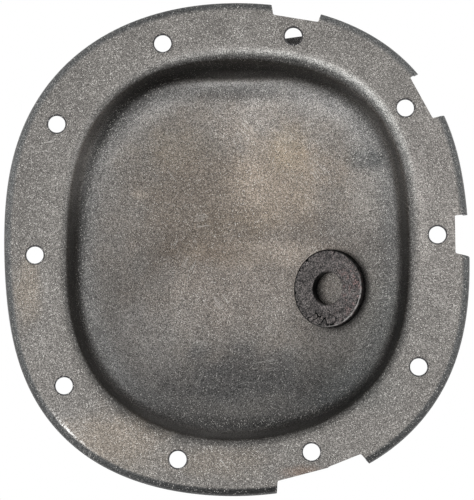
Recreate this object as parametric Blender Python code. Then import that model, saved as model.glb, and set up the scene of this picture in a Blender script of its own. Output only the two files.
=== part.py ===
"""Differential cover of a rear axle.

One pressed steel sheet makes the flat gasket flange, the lip turned back round it and the deep dome.
A ring magnet sits inside the dome and a small tab for the brake line is welded on its outside.

Metres. The gasket face lies in the plane Y = 0 and looks towards -Y, the dome bulges towards +Y, and
+Z is up as the cover is fitted on the axle. The origin is the middle of the gasket face.
Angles of places on the flange run from +X towards +Z, in degrees.
"""

from math import cos, pi, radians, sin, tan

import bmesh
import bpy
import numpy as np
from mathutils import Matrix, Vector

# The sheet
SHEET = 0.0025

# The outline: a mean radius with waves round it, each (how many, height, direction of a crest)
FLANGE_RADIUS = 0.1411
FLANGE_TALLNESS = 0.0041
FLANGE_CORNERS = 0.0038
FLANGE_WAVES = (
    (2, FLANGE_TALLNESS, 88.3),
    (4, FLANGE_CORNERS, 46.7),
    (3, 0.0003, -18.0),
    (6, 0.0003, -20.5),
)

# The lip, turned back from the gasket face
LIP_DEPTH = 0.009
LIP_BEND = 0.0045
LIP_FLARE = 8.0

# The opening of the dome, inside the flange
FLANGE_WIDTH = 0.0293
OPENING_TALLNESS = 0.0060
OPENING_CORNERS = 0.0035
OPENING_WAVES = (
    (2, OPENING_TALLNESS, 86.5),
    (3, 0.0004, 26.6),
    (4, OPENING_CORNERS, 45.3),
    (5, 0.0003, -22.8),
)
OPENING_X = 0.0014
OPENING_Z = 0.0010

# The dome's steep wall: its bend at the flange, widest in the direction WIDE_BEND_TURN, and its fillet
DOME_BEND = 0.0052
WIDE_BEND = 0.0026
WIDE_BEND_TURN = 55.0
WALL_ANGLE = 76.0
FLOOR_FILLET = 0.0105
CORNER_FILLET = 0.0045
FILLET_SHARE = 0.9

# The dome's floor: an arch from top to bottom and a rounded tent across, each flank of which has
# fallen by its drop at the edge of the opening. Below CROWN_TOP the crest is pressed in by CROWN_SET to
# a flat crown, which reaches to both sides, and a ramp falls from the crown to the bottom. In the
# corners the floor is a shoulder.
DOME_DEPTH = 0.0605
ARCH_RADIUS = 0.400
ARCH_Z = -0.040
CREST_X = 0.0
CREST_ROUNDING = 0.016
LEFT_DROP = 0.0410
RIGHT_DROP = 0.0437
CROWN_LEFT = 0.035
CROWN_RIGHT = 0.026
CROWN_TOP = 0.002
CROWN_FADE = 0.012
CROWN_SET = 0.008
RAMP_SLOPE = 0.52
RAMP_Z = -0.055
RAMP_ROUNDING = 0.025
SHOULDER_DEPTH = 0.0180
SHOULDER_ROUNDING = 0.010

# The bolt holes, each (direction from the origin, distance in from the outline)
BOLT_HOLE = 0.0098
BOLTS = {
    "right": (3.7, 0.0183),
    "upper right": (39.7, 0.0184),
    "top right": (75.0, 0.0172),
    "top left": (109.8, 0.0187),
    "upper left": (145.4, 0.0176),
    "left": (182.1, 0.0179),
    "lower left": (218.8, 0.0185),
    "bottom left": (254.6, 0.0178),
    "bottom right": (290.1, 0.0188),
    "lower right": (326.7, 0.0184),
}

# Where the lip is cut away: (bolt, direction the cut faces, distance from the bolt's middle to the
# cut, length of the cut clockwise and counter-clockwise of the bolt, splay of its two ends). The long
# one at the bottom is two strokes of the press with a small step between them.
NOTCHES = (
    ("right", 0.8, 0.0101, 0.0107, 0.0110, 13.0, 6.0),
    ("upper right", 28.7, 0.0108, 0.0127, 0.0142, 13.0, 0.0),
    ("top right", 80.7, 0.0103, 0.0127, 0.0134, 10.0, 18.0),
    ("bottom right", -75.3, 0.0110, 0.0228, 0.0080, 18.0, 13.0),
    ("bottom right", -68.2, 0.0114, -0.0054, 0.0256, 0.0, 22.0),
)

# The ring magnet, flat on the right flank of the dome, its middle in from the edge of the opening
MAGNET_OUTSIDE = 0.0452
MAGNET_HOLE = 0.0189
MAGNET_THICKNESS = 0.0048
MAGNET_EDGE = 0.0005
MAGNET_INSET = 0.0478
MAGNET_Z = -0.0208

# The brake line tab: its foot lies on the dome's wall, its leaf stands behind the bolt at the top right
TAB_SHEET = 0.002
TAB_WIDTH = 0.022
TAB_BEND = 0.0025
TAB_FOOT_DEPTH = 0.010
TAB_LEAF_DEPTH = 0.030
TAB_EDGE_TURN = 8.0
TAB_EDGE_RISE = 0.0032
TAB_EDGE_EASE = 0.0004

# Room left between pieces that touch
SEAT_GAP = 0.0003

# How far a cutter runs past what it cuts, and how near two points left by the cuts are made one
PAST = 0.005
JOINED_POINTS = 0.00002

# How finely the forms are drawn: sides round the sheet, steps in a bend and in the fillet, and how far
# in from the floor's edge the floor's rings of points lie
AROUND = 96
BEND_STEPS = 4
FILLET_STEPS = 4
FLOOR_RINGS = (0.07, 0.15, 0.25, 0.37, 0.5, 0.64, 0.82)
HOLE_SIDES = 24
MAGNET_SIDES = 40
TAB_BEND_STEPS = 5
SETTLE_STEPS = 12
SLOPE_STEP = 0.0005
SHARP_ANGLE = 35.0


def clear_scene():
    for old in list(bpy.data.objects):
        bpy.data.objects.remove(old, do_unlink=True)


def material(name, color, roughness, metallic):
    made = bpy.data.materials.new(name)
    made.use_nodes = True
    shader = made.node_tree.nodes["Principled BSDF"]
    shader.inputs["Base Color"].default_value = (*color, 1.0)
    shader.inputs["Roughness"].default_value = roughness
    shader.inputs["Metallic"].default_value = metallic
    return made


def add_object(name, mesh, finish=None, parent=None):
    made = bpy.data.objects.new(name, mesh)
    bpy.context.scene.collection.objects.link(made)
    made.parent = parent
    if finish:
        mesh.materials.append(finish)
    return made


def add_cutter(name, mesh):
    made = add_object(name, mesh)
    made.hide_render = True
    made.display_type = "WIRE"
    return made


def cut(target, cutter):
    modifier = target.modifiers.new(cutter.name, "BOOLEAN")
    modifier.operation = "DIFFERENCE"
    modifier.solver = "EXACT"
    modifier.object = cutter


def shade_round(mesh):
    mesh.shade_smooth()
    mesh.set_sharp_from_angle(angle=radians(SHARP_ANGLE))


def waved_radius(mean, waves, turn):
    """Radius of a closed curve in the direction turn, in radians: the mean plus each cosine wave."""
    radius = mean + 0.0 * turn
    for count, height, crest in waves:
        radius = radius + height * np.cos(count * (turn - radians(crest)))
    return radius


def outline_radius(turn):
    return waved_radius(FLANGE_RADIUS, FLANGE_WAVES, turn)


def opening_radius(turn):
    return waved_radius(FLANGE_RADIUS - FLANGE_WIDTH, OPENING_WAVES, turn)


def opening_point(turn, inset):
    """X and Z of a place that lies inset inside the edge of the opening."""
    radius = opening_radius(turn) - inset
    return OPENING_X + radius * np.cos(turn), OPENING_Z + radius * np.sin(turn)


def bolt_place(bolt):
    direction, inset = BOLTS[bolt]
    turn = radians(direction)
    radius = float(outline_radius(turn)) - inset
    return Vector((radius * cos(turn), 0.0, radius * sin(turn)))


def soft_ramp(distance, rounding):
    """Zero before the ramp, rising one for one after it, with a rounded start."""
    return 0.5 * (distance + np.sqrt(distance**2 + rounding**2))


def rounded_fall(distance):
    """One for one with the distance from the crest, with the crest's rounding at its start."""
    return np.sqrt(distance**2 + CREST_ROUNDING**2) - CREST_ROUNDING


def crown_share(z):
    """One below the crown's upper edge and zero above it, with a soft step between."""
    return 0.5 * (1 + np.tanh((CROWN_TOP - z) / CROWN_FADE))


def flank(away, z, crown, span, drop):
    """How far a flank has fallen away from the crest: nothing on the crown, drop at the span's end."""
    crown_reach = crown * crown_share(z)
    beyond = np.maximum(away - crown_reach, 0.0)
    return drop * rounded_fall(beyond) / rounded_fall(span - crown_reach)


def soft_min(first, second, blend):
    """The smaller of two depths, with a rounded join where they differ by less than blend."""
    overlap = np.maximum(blend - np.abs(first - second), 0.0) / blend
    return np.minimum(first, second) - overlap**2 * blend / 4


def soft_max(first, second, blend):
    return -soft_min(-first, -second, blend)


def floor_depth(x, z):
    """Depth of the dome's floor behind the gasket face, as if it had no wall round it."""
    right = flank(x - CREST_X, z, CROWN_RIGHT, opening_point(0.0, 0.0)[0] - CREST_X, RIGHT_DROP)
    left = flank(CREST_X - x, z, CROWN_LEFT, CREST_X - opening_point(pi, 0.0)[0], LEFT_DROP)
    tent = np.where(x > CREST_X, right, left)
    arch = (z - ARCH_Z) ** 2 / (2 * ARCH_RADIUS)
    ramp = RAMP_SLOPE * soft_ramp(RAMP_Z - z, RAMP_ROUNDING)
    bottom = DOME_DEPTH - CROWN_SET * crown_share(z)
    return soft_max(bottom - tent - arch - ramp, SHOULDER_DEPTH, SHOULDER_ROUNDING)


def wall_arc_end(turn):
    """Radius of the bend at the flange, and the inset and depth at which it ends and the wall starts."""
    share = 0.5 * (1 + np.cos(turn - radians(WIDE_BEND_TURN)))
    bend = DOME_BEND + WIDE_BEND * share**3
    angle = radians(WALL_ANGLE)
    return bend, bend * sin(angle), bend * (1 - cos(angle))


def wall_depth(turn, inset):
    """Depth of the wall: an arc from the flange, then straight at WALL_ANGLE."""
    bend, arc_inset, _ = wall_arc_end(turn)
    on_arc = bend - np.sqrt(bend**2 - np.clip(inset, 0.0, arc_inset) ** 2)
    return on_arc + np.maximum(inset - arc_inset, 0.0) * tan(radians(WALL_ANGLE))


def floor_slope(turn, inset):
    """Depth of the floor at an inset, and how fast it deepens inwards there."""
    deeper = floor_depth(*opening_point(turn, inset + SLOPE_STEP))
    shallower = floor_depth(*opening_point(turn, inset - SLOPE_STEP))
    return floor_depth(*opening_point(turn, inset)), (deeper - shallower) / (2 * SLOPE_STEP)


def wall_fillet(turn):
    """Radius and centre (inset, depth) of the arc that touches both wall and floor, and the inset at
    which it meets the floor. The radius is largest in the corners, and leaves some straight wall.

    The centre keeps the radius from the floor, and each step moves it to the same distance from the
    wall."""
    radius = FLOOR_FILLET + CORNER_FILLET * 0.5 * (1 - np.cos(4 * turn))
    angle = radians(WALL_ANGLE)
    _, arc_inset, arc_depth = wall_arc_end(turn)
    room = floor_depth(*opening_point(turn, arc_inset + radius)) - arc_depth
    radius = np.minimum(radius, FILLET_SHARE * room / (1 - cos(angle)))
    meeting = arc_inset + radius
    for _ in range(SETTLE_STEPS):
        depth, slope = floor_slope(turn, meeting)
        across = np.sqrt(1 + slope**2)
        centre = meeting + radius * slope / across
        centre_depth = depth - radius / across
        from_wall = (centre - arc_inset) * sin(angle) - (centre_depth - arc_depth) * cos(angle)
        meeting = meeting + (radius - from_wall) / sin(angle)
    return radius, centre, centre_depth, meeting


def dome_depth(x, z):
    """Depth of the dome's inside behind the gasket face: its wall, its fillet and its floor."""
    turn = np.arctan2(z - OPENING_Z, x - OPENING_X)
    inset = opening_radius(turn) - np.hypot(x - OPENING_X, z - OPENING_Z)
    radius, centre, centre_depth, meeting = wall_fillet(turn)
    reach = np.clip(inset - centre, -radius, radius)
    fillet = centre_depth + np.sqrt(radius**2 - reach**2)
    wall_end = centre - radius * sin(radians(WALL_ANGLE))
    below = np.where(inset < meeting, fillet, floor_depth(x, z))
    return np.where(inset < wall_end, wall_depth(turn, inset), below)


def lip_profile():
    """Inset from the outline and depth of each ring from the lip's edge to the flat flange."""
    bend_angle = radians(90.0 - LIP_FLARE)
    straight_depth = LIP_DEPTH - LIP_BEND * (1 - cos(bend_angle))
    flat_inset = straight_depth / tan(bend_angle) + LIP_BEND * sin(bend_angle)
    rings = [(0.0, LIP_DEPTH)]
    for step in range(BEND_STEPS, -1, -1):
        angle = bend_angle * step / BEND_STEPS
        rings.append((flat_inset - LIP_BEND * sin(angle), LIP_BEND * (1 - cos(angle))))
    return rings


def sheet_rings():
    """The gasket side of the sheet as rings of points, from the lip's edge to the middle of the dome."""
    turn = np.arange(AROUND) * 2 * pi / AROUND
    rings = []
    for inset, depth in lip_profile():
        radius = outline_radius(turn) - inset
        rings.append((radius * np.cos(turn), depth + 0.0 * turn, radius * np.sin(turn)))

    angle = radians(WALL_ANGLE)
    bend, _, _ = wall_arc_end(turn)
    insets = [bend * sin(angle * step / BEND_STEPS) for step in range(BEND_STEPS + 1)]
    radius, centre, _, meeting = wall_fillet(turn)
    floor_angle = np.arcsin((centre - meeting) / radius)
    for step in range(FILLET_STEPS + 1):
        steepness = angle + (floor_angle - angle) * step / FILLET_STEPS
        insets.append(centre - radius * np.sin(steepness))
    insets += [meeting + (opening_radius(turn) - meeting) * share for share in FLOOR_RINGS]
    for inset in insets:
        x, z = opening_point(turn, inset)
        rings.append((x, dome_depth(x, z), z))
    return [np.stack(ring, axis=1) for ring in rings]


def band(first, second, count):
    """Quads between two rings of count points, numbered from first and from second."""
    afters = [(side + 1) % count for side in range(count)]
    return [(first + side, first + after, second + after, second + side) for side, after in enumerate(afters)]


def lofted_mesh(name, rings, middle):
    """Quads from each ring to the next, and a fan from the last ring to the middle point."""
    count = len(rings[0])
    points = np.concatenate(rings + [np.array([middle])])
    faces = []
    for ring in range(len(rings) - 1):
        faces += band(ring * count, (ring + 1) * count, count)
    last = (len(rings) - 1) * count
    faces += [(last + side, last + (side + 1) % count, len(points) - 1) for side in range(count)]
    mesh = bpy.data.meshes.new(name)
    mesh.from_pydata(points.tolist(), [], faces)
    return mesh


def turned_mesh(name, section, sides):
    """A closed section of (radius, height) points carried round the Z axis."""
    points = []
    faces = []
    for number, (radius, height) in enumerate(section):
        turns = [2 * pi * side / sides for side in range(sides)]
        points += [(radius * cos(turn), radius * sin(turn), height) for turn in turns]
        faces += band(number * sides, (number + 1) % len(section) * sides, sides)
    mesh = bpy.data.meshes.new(name)
    mesh.from_pydata(points, [], faces)
    return mesh


def bolt_hole_cutter():
    """One cylinder through the flange at each bolt."""
    shape = bmesh.new()
    upright = Matrix.Rotation(radians(90), 4, "X")
    for bolt in BOLTS:
        bmesh.ops.create_cone(
            shape,
            cap_ends=True,
            segments=HOLE_SIDES,
            radius1=BOLT_HOLE / 2,
            radius2=BOLT_HOLE / 2,
            depth=2 * (SHEET + PAST),
            matrix=Matrix.Translation(bolt_place(bolt)) @ upright,
        )
    mesh = bpy.data.meshes.new("bolt_hole_cutter")
    shape.to_mesh(mesh)
    shape.free()
    return add_cutter("bolt_hole_cutter", mesh)


def notch_cutter(bolt, facing, land, before, after, splay_before, splay_after):
    """A prism outside one straight cut, wide enough to take the lip off there."""
    out = 2 * FLANGE_WIDTH
    outward = Vector((cos(radians(facing)), 0.0, sin(radians(facing))))
    along = Vector((-outward.z, 0.0, outward.x))
    inner = bolt_place(bolt) + outward * land
    outer = inner + outward * out
    corners = (
        inner - along * before,
        outer - along * (before + out * tan(radians(splay_before))),
        outer + along * (after + out * tan(radians(splay_after))),
        inner + along * after,
    )
    shape = bmesh.new()
    front = [shape.verts.new(corner - Vector((0.0, PAST, 0.0))) for corner in corners]
    grown = bmesh.ops.extrude_face_region(shape, geom=[shape.faces.new(front)])
    moved = [item for item in grown["geom"] if isinstance(item, bmesh.types.BMVert)]
    bmesh.ops.translate(shape, verts=moved, vec=(0.0, LIP_DEPTH + 2 * PAST, 0.0))
    bmesh.ops.recalc_face_normals(shape, faces=shape.faces)
    mesh = bpy.data.meshes.new("notch_cutter")
    shape.to_mesh(mesh)
    shape.free()
    return add_cutter("notch_cutter", mesh)


def build_cover_shell(parent):
    middle = (OPENING_X, float(dome_depth(OPENING_X, OPENING_Z)), OPENING_Z)
    mesh = lofted_mesh("cover_shell", sheet_rings(), middle)
    shade_round(mesh)
    steel = material("pressed_steel", (0.19, 0.185, 0.175), 0.5, 0.75)
    shell = add_object("cover_shell", mesh, steel, parent)
    wall = shell.modifiers.new("sheet", "SOLIDIFY")
    wall.thickness = SHEET
    wall.offset = -1.0
    wall.use_even_offset = True
    wall.use_quality_normals = True
    cut(shell, bolt_hole_cutter())
    for notch in NOTCHES:
        cut(shell, notch_cutter(*notch))
    joined = shell.modifiers.new("joined_points", "WELD")
    joined.merge_threshold = JOINED_POINTS
    return shell


def floor_normal(x, z):
    """Unit normal of the dome's floor at a place, pointing out of the dome's mouth."""
    slope_x = float(floor_depth(x + SLOPE_STEP, z) - floor_depth(x - SLOPE_STEP, z)) / (2 * SLOPE_STEP)
    slope_z = float(floor_depth(x, z + SLOPE_STEP) - floor_depth(x, z - SLOPE_STEP)) / (2 * SLOPE_STEP)
    return Vector((slope_x, -1.0, slope_z)).normalized()


def magnet_seat():
    """Place of the magnet's underside: its axis square to the floor, its rim just clear of it."""
    x = opening_point(0.0, MAGNET_INSET)[0]
    normal = floor_normal(x, MAGNET_Z)
    middle = Vector((x, float(floor_depth(x, MAGNET_Z)), MAGNET_Z))
    turned = normal.to_track_quat("Z", "Y").to_matrix().to_4x4()
    seat = Matrix.Translation(middle) @ turned
    clearances = []
    for side in range(MAGNET_SIDES):
        turn = 2 * pi * side / MAGNET_SIDES
        for radius in (MAGNET_OUTSIDE / 2, MAGNET_HOLE / 2):
            point = seat @ Vector((radius * cos(turn), radius * sin(turn), 0.0))
            clearances.append((float(dome_depth(point.x, point.z)) - point.y) * -normal.y)
    return Matrix.Translation(normal * (SEAT_GAP - min(clearances))) @ seat


def build_ring_magnet(parent):
    """A turned ring with eased edges, its section listed the way that turns its faces outwards."""
    outside = MAGNET_OUTSIDE / 2
    hole = MAGNET_HOLE / 2
    top = MAGNET_THICKNESS
    ease = MAGNET_EDGE
    section = (
        (outside, ease),
        (outside, top - ease),
        (outside - ease, top),
        (hole + ease, top),
        (hole, top - ease),
        (hole, ease),
        (hole + ease, 0.0),
        (outside - ease, 0.0),
    )
    mesh = turned_mesh("ring_magnet", section, MAGNET_SIDES)
    shade_round(mesh)
    ferrite = material("dark_ferrite", (0.075, 0.066, 0.06), 0.55, 0.2)
    magnet = add_object("ring_magnet", mesh, ferrite, parent)
    magnet.matrix_world = magnet_seat()
    return magnet


def tab_stand():
    """Frame of the tab and the bolt's distance: origin at the opening's edge point nearest to the
    bolt behind which the leaf stands, X out towards the bolt, Y along the edge, Z away from the axle."""
    bolt = bolt_place("top right")
    turn = np.linspace(0, 2 * pi, 2000)
    x, z = opening_point(turn, 0.0)
    nearest = int(np.argmin(np.hypot(x - bolt.x, z - bolt.z)))
    edge = Vector((x[nearest], 0.0, z[nearest]))
    outward = (bolt - edge).normalized()
    back = Vector((0.0, 1.0, 0.0))
    along = back.cross(outward)
    frame = Matrix.Identity(4)
    for column, axis in enumerate((outward, along, back, edge)):
        for row in range(3):
            frame[row][column] = axis[row]
    return frame, (bolt - edge).length, turn[nearest]


def tab_profile(turn, leaf_end):
    """Middle line of the bent tab, foot first: each point's distance out from the opening's edge, its
    depth, and the direction across the sheet in the same two coordinates."""
    angle = radians(WALL_ANGLE)
    _, arc_inset, arc_depth = wall_arc_end(turn)
    lift = SHEET + SEAT_GAP + TAB_SHEET / 2
    wall_out = lift * sin(angle) - arc_inset
    wall_deep = lift * cos(angle) + arc_depth
    bend = TAB_BEND + TAB_SHEET / 2
    bend_deep = TAB_LEAF_DEPTH - bend
    foot_deep = bend_deep - bend * cos(angle)
    bend_out = wall_out - (foot_deep - wall_deep) / tan(angle) + bend * sin(angle)
    foot_start_out = wall_out - (TAB_FOOT_DEPTH - wall_deep) / tan(angle)
    line = [(foot_start_out, TAB_FOOT_DEPTH, sin(angle), cos(angle))]
    for step in range(TAB_BEND_STEPS + 1):
        turned = radians(270.0 - WALL_ANGLE - (180.0 - WALL_ANGLE) * step / TAB_BEND_STEPS)
        across = (-cos(turned), -sin(turned))
        line.append((bend_out - bend * across[0], bend_deep - bend * across[1], *across))
    line.append((leaf_end, TAB_LEAF_DEPTH, 0.0, -1.0))
    return line


def build_brake_line_tab(parent):
    frame, bolt_distance, turn = tab_stand()
    leaf_end = bolt_distance + TAB_EDGE_RISE
    outward = frame.col[0].to_3d()
    along = frame.col[1].to_3d()
    edge = Vector((cos(radians(TAB_EDGE_TURN)), 0.0, sin(radians(TAB_EDGE_TURN))))
    slant = edge.dot(outward) / edge.dot(along)

    shape = bmesh.new()
    rings = []
    line = tab_profile(turn, leaf_end)
    for number, (out, deep, thick_out, thick_deep) in enumerate(line):
        ring = []
        for side, face in ((-1, -1), (1, -1), (1, 1), (-1, 1)):
            offset = side * TAB_WIDTH / 2
            lean = slant * offset if number == len(line) - 1 else 0.0
            half = face * TAB_SHEET / 2
            ring.append(shape.verts.new((out + thick_out * half + lean, offset, deep + thick_deep * half)))
        rings.append(ring)
    for first, second in zip(rings, rings[1:]):
        for side in range(4):
            after = (side + 1) % 4
            shape.faces.new((first[side], first[after], second[after], second[side]))
    shape.faces.new(rings[0])
    shape.faces.new(rings[-1])
    bmesh.ops.recalc_face_normals(shape, faces=shape.faces)
    mesh = bpy.data.meshes.new("brake_line_tab")
    shape.to_mesh(mesh)
    shape.free()
    steel = material("tab_steel", (0.12, 0.125, 0.13), 0.5, 0.75)
    tab = add_object("brake_line_tab", mesh, steel, parent)
    tab.matrix_world = frame
    eased = tab.modifiers.new("eased_edges", "BEVEL")
    eased.width = TAB_EDGE_EASE
    eased.segments = 1
    return tab


def main():
    clear_scene()
    cover = bpy.data.objects.new("differential_cover", None)
    bpy.context.scene.collection.objects.link(cover)
    build_cover_shell(cover)
    build_ring_magnet(cover)
    build_brake_line_tab(cover)


main()
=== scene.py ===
"""Looks of the differential cover: a pressed steel cover seen from its gasket side.

Metres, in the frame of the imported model: the gasket face lies in the plane Y = 0 and looks towards -Y,
the dome bulges towards +Y, and +Z is up. Angles on the flange run from +X towards +Z, in degrees.
The sheet and the magnet are surfaces worked out as whole arrays, at the sizes of the model. The tab is
the model's own, with a material.
"""

from math import cos, pi, radians, sin, tan

import bmesh
import bpy
import numpy as np
from mathutils import Matrix, Vector


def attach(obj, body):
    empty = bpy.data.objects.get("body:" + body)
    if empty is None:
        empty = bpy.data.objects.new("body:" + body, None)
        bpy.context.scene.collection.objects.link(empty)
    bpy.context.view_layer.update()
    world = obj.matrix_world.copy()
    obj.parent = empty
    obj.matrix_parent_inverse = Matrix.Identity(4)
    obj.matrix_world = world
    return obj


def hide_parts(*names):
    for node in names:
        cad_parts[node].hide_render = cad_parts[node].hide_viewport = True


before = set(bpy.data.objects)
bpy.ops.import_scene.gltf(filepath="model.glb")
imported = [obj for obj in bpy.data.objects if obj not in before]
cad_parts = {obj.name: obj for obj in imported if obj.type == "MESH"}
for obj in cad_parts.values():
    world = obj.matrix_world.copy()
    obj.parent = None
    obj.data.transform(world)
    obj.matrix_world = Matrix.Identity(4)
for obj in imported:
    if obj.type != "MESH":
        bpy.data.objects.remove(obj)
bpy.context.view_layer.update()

# The sheet, its outline and its lip
SHEET = 0.0025
FLANGE_RADIUS = 0.1411
FLANGE_WAVES = ((2, 0.0041, 88.3), (4, 0.0038, 46.7), (3, 0.0003, -18.0), (6, 0.0003, -20.5))
LIP_DEPTH = 0.009
LIP_BEND = 0.0045
LIP_FLARE = 8.0

# The opening of the dome and its steep wall, whose bend at the flange is widest at the upper right
FLANGE_WIDTH = 0.0293
OPENING_WAVES = ((2, 0.0060, 86.5), (3, 0.0004, 26.6), (4, 0.0035, 45.3), (5, 0.0003, -22.8))
OPENING_X = 0.0014
OPENING_Z = 0.0010
DOME_BEND = 0.0052
WIDE_BEND = 0.0026
WIDE_BEND_TURN = 55.0
WALL_ANGLE = 76.0
FLOOR_FILLET = 0.0105
CORNER_FILLET = 0.0045
FILLET_SHARE = 0.9

# The dome's floor: an arch, two flanks with a flat crown between them, a ramp and the shoulders
DOME_DEPTH = 0.0605
ARCH_RADIUS = 0.400
ARCH_Z = -0.040
CREST_X = 0.0
CREST_ROUNDING = 0.016
LEFT_DROP = 0.0410
RIGHT_DROP = 0.0437
CROWN_LEFT = 0.035
CROWN_RIGHT = 0.026
CROWN_TOP = 0.002
CROWN_FADE = 0.012
CROWN_SET = 0.008
RAMP_SLOPE = 0.52
RAMP_Z = -0.055
RAMP_ROUNDING = 0.025
SHOULDER_DEPTH = 0.0180
SHOULDER_ROUNDING = 0.010

# The bolt holes, each (direction from the origin, distance in from the outline)
BOLT_HOLE = 0.0098
BOLTS = {
    "right": (3.7, 0.0183),
    "upper right": (39.7, 0.0184),
    "top right": (75.0, 0.0172),
    "top left": (109.8, 0.0187),
    "upper left": (145.4, 0.0176),
    "left": (182.1, 0.0179),
    "lower left": (218.8, 0.0185),
    "bottom left": (254.6, 0.0178),
    "bottom right": (290.1, 0.0188),
    "lower right": (326.7, 0.0184),
}

# Where the lip is cut away: (bolt, direction the cut faces, distance from the bolt's middle to the
# cut, length of the cut clockwise and counter-clockwise of the bolt, splay of its two ends)
NOTCHES = (
    ("right", 0.8, 0.0101, 0.0107, 0.0110, 13.0, 6.0),
    ("upper right", 28.7, 0.0108, 0.0127, 0.0142, 13.0, 0.0),
    ("top right", 80.7, 0.0103, 0.0127, 0.0134, 10.0, 18.0),
    ("bottom right", -75.3, 0.0110, 0.0228, 0.0080, 18.0, 13.0),
    ("bottom right", -68.2, 0.0114, -0.0054, 0.0256, 0.0, 22.0),
)

# The ring magnet
MAGNET_OUTSIDE = 0.0452
MAGNET_HOLE = 0.0189
MAGNET_THICKNESS = 0.0048
MAGNET_EASE = 0.0006
MAGNET_INSET = 0.0478
MAGNET_Z = -0.0208
SEAT_GAP = 0.0003

# Eased edges of the bolt holes, and of the sheet where it turns by more degrees than EASED_FROM, and
# the rounded corners of the cuts
HOLE_EASE = 0.0003
LIP_EASE = 0.0003
EASED_FROM = 60
DIE_CORNER = 0.0009

# How finely the forms are drawn, and from how many degrees on an edge is shown sharp
AROUND = 288
BEND_STEPS = 9
FILLET_STEPS = 12
SETTLE_STEPS = 12
SLOPE_STEP = 0.0005
FLOOR_STEPS = 26
HOLE_SIDES = 48
MAGNET_SIDES = 160
FACE_RINGS = 40
EASE_STEPS = 5
SEAT_SIDES = 40
CORNER_STEPS = 4
SHARP_FROM = 38

# Rings of points on the flat flange, each a distance out from the edge of the opening, and the margin
# inside the lip's bend
FLAT_MARGIN = 0.0004
FLAT_RINGS = (0.0100, 0.0065, 0.0040, 0.0020, FLAT_MARGIN)

# Past a face, for a cutter that runs through it
PAST = 0.005

# Stains and rust on the sheet, and painted shade and painted light, each (place, reach, raggedness, tone it
# multiplies by, strength)
STAINS_AND_PAINTED_SHADING = (
    ((0.000, 0.045, 0.015), (0.080, 0.09, 0.080), 0.9, (1.04, 0.98, 0.935), 1.0),
    ((0.027, 0.045, 0.044), (0.034, 0.09, 0.032), 1.1, (1.22, 1.17, 1.09), 1.0),
    ((0.030, 0.045, 0.060), (0.012, 0.09, 0.014), 1.0, (1.18, 1.14, 1.06), 0.9),
    ((0.050, 0.040, 0.051), (0.016, 0.09, 0.016), 0.5, (1.12, 1.09, 1.06), 0.9),
    ((0.073, 0.030, 0.053), (0.013, 0.09, 0.008), 0.9, (0.60, 0.63, 0.65), 0.9),
    ((0.068, 0.030, 0.028), (0.015, 0.09, 0.016), 1.0, (1.10, 1.10, 1.09), 0.8),
    ((-0.026, 0.040, 0.036), (0.040, 0.09, 0.046), 0.9, (0.96, 0.93, 0.89), 0.9),
    ((-0.022, 0.045, 0.002), (0.030, 0.09, 0.011), 1.1, (0.77, 0.75, 0.73), 0.8),
    ((0.003, 0.045, 0.018), (0.028, 0.09, 0.012), 1.0, (0.80, 0.78, 0.75), 0.9),
    ((-0.036, 0.040, 0.060), (0.024, 0.09, 0.013), 1.2, (1.18, 1.17, 1.13), 0.8),
    ((-0.056, 0.030, 0.033), (0.006, 0.09, 0.003), 1.2, (1.50, 1.47, 1.42), 0.8),
    ((0.008, 0.050, 0.001), (0.048, 0.09, 0.009), 0.9, (1.42, 1.39, 1.34), 0.9),
    ((-0.080, 0.000, 0.096), (0.050, 0.02, 0.048), 1.0, (0.92, 0.92, 0.92), 1.0),
    ((0.118, 0.000, 0.026), (0.030, 0.02, 0.064), 1.0, (1.10, 1.09, 1.09), 1.0),
    ((-0.056, 0.030, -0.058), (0.022, 0.09, 0.040), 0.9, (1.12, 1.13, 1.15), 0.9),
    ((0.006, 0.045, -0.074), (0.056, 0.09, 0.021), 1.1, (0.60, 0.62, 0.65), 1.0),
    ((-0.008, 0.035, -0.088), (0.030, 0.09, 0.010), 0.9, (0.92, 0.93, 0.94), 0.9),
    ((0.066, 0.030, -0.078), (0.030, 0.09, 0.018), 0.9, (0.84, 0.87, 0.88), 1.0),
    ((0.082, 0.025, -0.040), (0.020, 0.09, 0.030), 0.9, (0.90, 0.92, 0.92), 0.9),
    ((-0.074, 0.000, -0.110), (0.034, 0.02, 0.020), 1.2, (1.24, 1.16, 1.07), 1.0),
    ((-0.012, 0.000, -0.122), (0.034, 0.02, 0.010), 1.2, (1.10, 1.05, 0.99), 0.9),
    ((-0.010, 0.000, -0.124), (0.090, 0.02, 0.022), 0.6, (0.90, 0.90, 0.90), 1.0),
    ((-0.002, 0.040, 0.082), (0.070, 0.09, 0.018), 0.8, (1.17, 1.17, 1.17), 1.0),
    ((0.043, 0.040, 0.012), (0.014, 0.09, 0.012), 1.0, (0.80, 0.79, 0.78), 0.9),
    ((-0.119, 0.000, -0.024), (0.009, 0.02, 0.022), 1.2, (1.18, 1.11, 1.02), 0.9),
    ((0.038, 0.000, -0.128), (0.013, 0.02, 0.005), 1.2, (1.25, 0.88, 0.68), 0.4),
    ((0.062, 0.000, 0.110), (0.040, 0.02, 0.022), 1.0, (0.96, 0.96, 0.96), 1.0),
    ((-0.116, 0.000, 0.026), (0.016, 0.02, 0.040), 1.0, (0.90, 0.90, 0.90), 1.0),
    ((0.000, 0.000, 0.124), (0.060, 0.02, 0.016), 1.0, (0.94, 0.94, 0.94), 1.0),
)
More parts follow.
